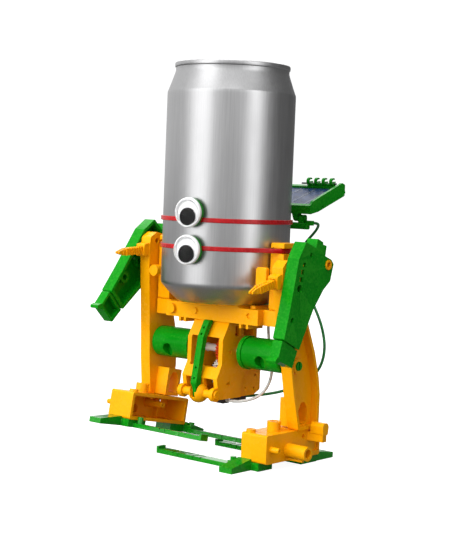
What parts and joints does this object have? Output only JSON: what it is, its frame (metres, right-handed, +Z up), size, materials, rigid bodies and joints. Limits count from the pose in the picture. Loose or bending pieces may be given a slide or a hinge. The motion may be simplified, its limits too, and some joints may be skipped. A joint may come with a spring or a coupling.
{
  "type": "walking drink-can robot kit",
  "caption": "Two-legged walking robot built on an empty drink can, with a crank gearbox, swinging arms, googly eyes on rubber bands and a tilting solar panel.",
  "frame": {"origin": "centre of the bottom of the robot's box, level with the sole of the foot that it stands on", "axes": "+X towards the robot's right side as it is seen from the front, +Y towards the back, where the solar panel is, +Z up"},
  "size_m": [0.122, 0.117, 0.2017],
  "materials": {
    "yellow_plastic": "satin moulded plastic",
    "green_plastic": "satin moulded plastic",
    "can_metal": "bare brushed aluminium",
    "red_rubber": "matt rubber",
    "eye_white": "glossy",
    "eye_clear": "clear polished plastic",
    "eye_black": "glossy",
    "solar_cell": "glossy laminated cell",
    "dark_steel": "dark painted",
    "screw_steel": "plated",
    "motor_case": "black painted",
    "white_plastic": "natural plastic",
    "red_plastic": "satin moulded plastic",
    "green_wire": "soft wire insulation",
    "white_wire": "soft wire insulation",
    "black_plastic": "matt"
  },
  "bodies": {
    "chassis": {"cross_beam": "yellow_plastic", "left_post": "yellow_plastic", "right_post": "yellow_plastic", "left_clamp_pad": "yellow_plastic", "right_clamp_pad": "yellow_plastic", "left_shoulder_pin": "yellow_plastic", "right_shoulder_pin": "yellow_plastic", "gearbox_housing": "yellow_plastic", "gearbox_cover": "yellow_plastic", "bottom_rod": "yellow_plastic", "lever_socket": "yellow_plastic", "panel_stand": "green_plastic", "upper_eye_holder": "green_plastic", "lower_eye_holder": "green_plastic", "can_body": "can_metal", "can_lid": "can_metal", "upper_band": "red_rubber", "lower_band": "red_rubber", "upper_eye_cup": "eye_white", "lower_eye_cup": "eye_white", "upper_eye_dome": "eye_clear", "lower_eye_dome": "eye_clear", "cover_screws": "screw_steel", "motor": "motor_case", "idler_axles": "screw_steel", "green_wire": "green_wire", "white_wire": "white_wire", "wire_clips": "black_plastic"},
    "drive": {"drive_shaft": "white_plastic", "output_gear": "red_plastic", "left_drum": "green_plastic", "right_drum": "green_plastic", "left_crank_pin": "green_plastic", "right_crank_pin": "green_plastic"},
    "left_leg_assembly": {"left_leg": "yellow_plastic", "left_peg": "yellow_plastic", "left_foot": "yellow_plastic", "left_front_toe": "green_plastic", "left_rear_toe": "green_plastic"},
    "right_leg_assembly": {"right_leg": "yellow_plastic", "right_peg": "yellow_plastic", "right_foot": "yellow_plastic", "right_front_toe": "green_plastic", "right_rear_toe": "green_plastic"},
    "left_arm_assembly": {"left_arm": "green_plastic", "left_hand": "green_plastic"},
    "right_arm_assembly": {"right_arm": "green_plastic", "right_hand": "green_plastic"},
    "panel": {"solar_frame": "green_plastic", "solar_cell": "solar_cell", "hook_rod": "dark_steel", "wire_hooks": "green_plastic"},
    "lever": {"front_lever": "green_plastic"},
    "upper_pupil_disc": {"upper_pupil": "eye_black"},
    "lower_pupil_disc": {"lower_pupil": "eye_black"},
    "second_idler_gear": {"second_idler": "white_plastic"},
    "first_idler_gear": {"first_idler": "white_plastic"},
    "pinion": {"motor_pinion": "white_plastic"},
    "tab": {"pull_tab": "can_metal"}
  },
  "joints": [
    {"name": "drive_shaft_spin", "type": "hinge", "parent": "chassis", "child": "drive", "pos_m": [0, -0.00938, 0.0548], "axis": [1, 0, 0], "continuous": true},
    {"name": "left_leg_crank", "type": "hinge", "parent": "drive", "child": "left_leg_assembly", "pos_m": [-0.046, -0.01166, 0.05868], "axis": [1, 0, 0], "continuous": true},
    {"name": "right_leg_crank", "type": "hinge", "parent": "drive", "child": "right_leg_assembly", "pos_m": [0.046, -0.00709, 0.05092], "axis": [1, 0, 0], "continuous": true},
    {"name": "left_arm_swing", "type": "hinge", "parent": "chassis", "child": "left_arm_assembly", "pos_m": [-0.053, 0.00262, 0.102], "axis": [1, 0, 0], "range_deg": [-4, 26]},
    {"name": "right_arm_swing", "type": "hinge", "parent": "chassis", "child": "right_arm_assembly", "pos_m": [0.053, 0.00262, 0.102], "axis": [1, 0, 0], "range_deg": [-26, 4]},
    {"name": "panel_tilt", "type": "hinge", "parent": "chassis", "child": "panel", "pos_m": [0, 0.03122, 0.1236], "axis": [1, 0, 0], "range_deg": [-35, 9]},
    {"name": "lever_swing", "type": "hinge", "parent": "chassis", "child": "lever", "pos_m": [0, -0.02638, 0.0333], "axis": [1, 0, 0], "range_deg": [0, 30]},
    {"name": "upper_pupil_roll", "type": "hinge", "parent": "chassis", "child": "upper_pupil_disc", "pos_m": [0.00594, -0.04691, 0.1255], "axis": [0.1564, -0.9877, 0], "continuous": true},
    {"name": "lower_pupil_roll", "type": "hinge", "parent": "chassis", "child": "lower_pupil_disc", "pos_m": [0.00594, -0.04691, 0.107], "axis": [0.1564, -0.9877, 0], "continuous": true},
    {"name": "second_idler_spin", "type": "hinge", "parent": "chassis", "child": "second_idler_gear", "pos_m": [0.0058, -0.00121, 0.04663], "axis": [1, 0, 0], "continuous": true},
    {"name": "first_idler_spin", "type": "hinge", "parent": "chassis", "child": "first_idler_gear", "pos_m": [0.003, -0.01032, 0.04239], "axis": [1, 0, 0], "continuous": true},
    {"name": "motor_spin", "type": "hinge", "parent": "chassis", "child": "pinion", "pos_m": [0.0016, -0.00089, 0.04089], "axis": [1, 0, 0], "continuous": true},
    {"name": "tab_swivel", "type": "hinge", "parent": "chassis", "child": "tab", "pos_m": [0, -0.00938, 0.1985], "axis": [0, 0, 1], "range_deg": [-170, 170]}
  ],
  "couplings": [
    {"joint": "left_leg_crank", "follows": "drive_shaft_spin", "ratio": -1},
    {"joint": "right_leg_crank", "follows": "drive_shaft_spin", "ratio": -1},
    {"joint": "second_idler_spin", "follows": "drive_shaft_spin", "ratio": -3.6},
    {"joint": "first_idler_spin", "follows": "drive_shaft_spin", "ratio": 10.8},
    {"joint": "motor_spin", "follows": "drive_shaft_spin", "ratio": -40.5}
  ]
}
